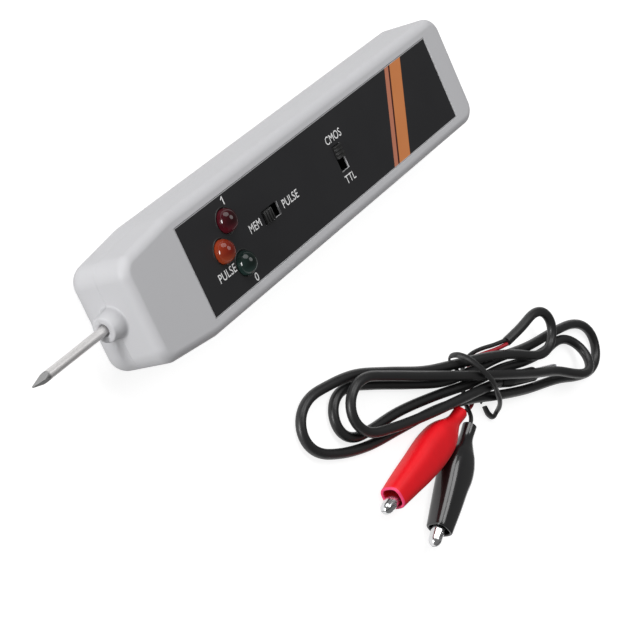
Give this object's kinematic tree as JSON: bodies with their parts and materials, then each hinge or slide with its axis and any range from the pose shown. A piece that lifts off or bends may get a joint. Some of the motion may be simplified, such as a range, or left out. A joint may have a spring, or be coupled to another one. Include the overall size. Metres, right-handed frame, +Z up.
{
  "type": "logic probe",
  "caption": "Pen-type logic probe in a flat grey case with a steel needle, domed lamps, slide switches and a tied power lead with insulated crocodile clips.",
  "frame": {"origin": "bottom centre of the probe's own box, on the surface that it lies on, without the lead", "axes": "+X across the probe, towards the lead; +Y along the probe, from the needle to the rear socket; +Z up, out of the front panel"},
  "size_m": [0.1024, 0.177, 0.0177],
  "materials": {
    "case_grey": "moulded, fine satin",
    "panel_black": "satin printed plate",
    "lens_red": "clear tinted",
    "lens_amber": "clear tinted",
    "lens_green": "clear tinted",
    "tinned_wire": "tinned",
    "knob_black": "moulded",
    "plated_steel": "plated",
    "phenolic_brown": "pressed laminate",
    "board_green": "lacquered laminate",
    "chip_black": "moulded",
    "resistor_tan": "lacquered",
    "capacitor_blue": "shrink sleeve",
    "needle_steel": "drawn and ground",
    "ferrule_brass": "turned",
    "cable_black": "flexible vinyl",
    "wire_red": "flexible vinyl",
    "clip_chrome": "bright plated",
    "boot_red": "glossy soft vinyl",
    "boot_black": "glossy soft vinyl"
  },
  "bodies": {
    "probe": {"upper_shell": "case_grey", "lower_shell": "case_grey", "face_panel": "panel_black", "high_lamp": "lens_red", "pulse_lamp": "lens_amber", "low_lamp": "lens_green", "lamp_legs": "tinned_wire", "mode_frame": "plated_steel", "mode_base": "phenolic_brown", "mode_pins": "tinned_wire", "family_frame": "plated_steel", "family_base": "phenolic_brown", "family_pins": "tinned_wire", "circuit_board": "board_green", "gate_chip": "chip_black", "comparator_chip": "chip_black", "chip_pins": "tinned_wire", "resistors": "resistor_tan", "resistor_leads": "tinned_wire", "capacitor": "capacitor_blue", "transistors": "chip_black", "transistor_legs": "tinned_wire", "needle": "needle_steel", "ferrule": "ferrule_brass", "needle_wire": "tinned_wire", "power_socket": "knob_black", "socket_lugs": "tinned_wire", "lead_cable": "cable_black", "red_wire": "wire_red", "black_wire": "cable_black", "lead_tie": "cable_black", "plug_grip": "cable_black", "plug_pin": "plated_steel", "red_boot": "boot_red", "red_fixed_jaw": "clip_chrome", "red_pivot": "plated_steel", "red_spring": "plated_steel", "black_boot": "boot_black", "black_fixed_jaw": "clip_chrome", "black_pivot": "plated_steel", "black_spring": "plated_steel"},
    "mode_slider": {"mode_knob": "knob_black"},
    "family_slider": {"family_knob": "knob_black"},
    "red_jaw": {"red_moving_jaw": "clip_chrome"},
    "black_jaw": {"black_moving_jaw": "clip_chrome"}
  },
  "joints": [
    {"name": "mode_slide", "type": "slide", "parent": "probe", "child": "mode_slider", "axis": [0, 1, 0], "range_m": [0, 0.0026]},
    {"name": "family_slide", "type": "slide", "parent": "probe", "child": "family_slider", "axis": [1, 0, 0], "range_m": [0, 0.0026]},
    {"name": "red_jaw_open", "type": "hinge", "parent": "probe", "child": "red_jaw", "pos_m": [0.0708, 0.01638, 0.0033], "axis": [0, 0, -1], "range_deg": [0, 25], "stiffness_Nm_per_rad": 0.05, "springref_deg": -11.46, "deforming": ["red_boot", "red_spring"]},
    {"name": "black_jaw_open", "type": "hinge", "parent": "probe", "child": "black_jaw", "pos_m": [0.08051, 0.025, 0.0033], "axis": [0, 0, 1], "range_deg": [0, 25], "stiffness_Nm_per_rad": 0.05, "springref_deg": -11.46, "deforming": ["black_boot", "black_spring"]}
  ]
}
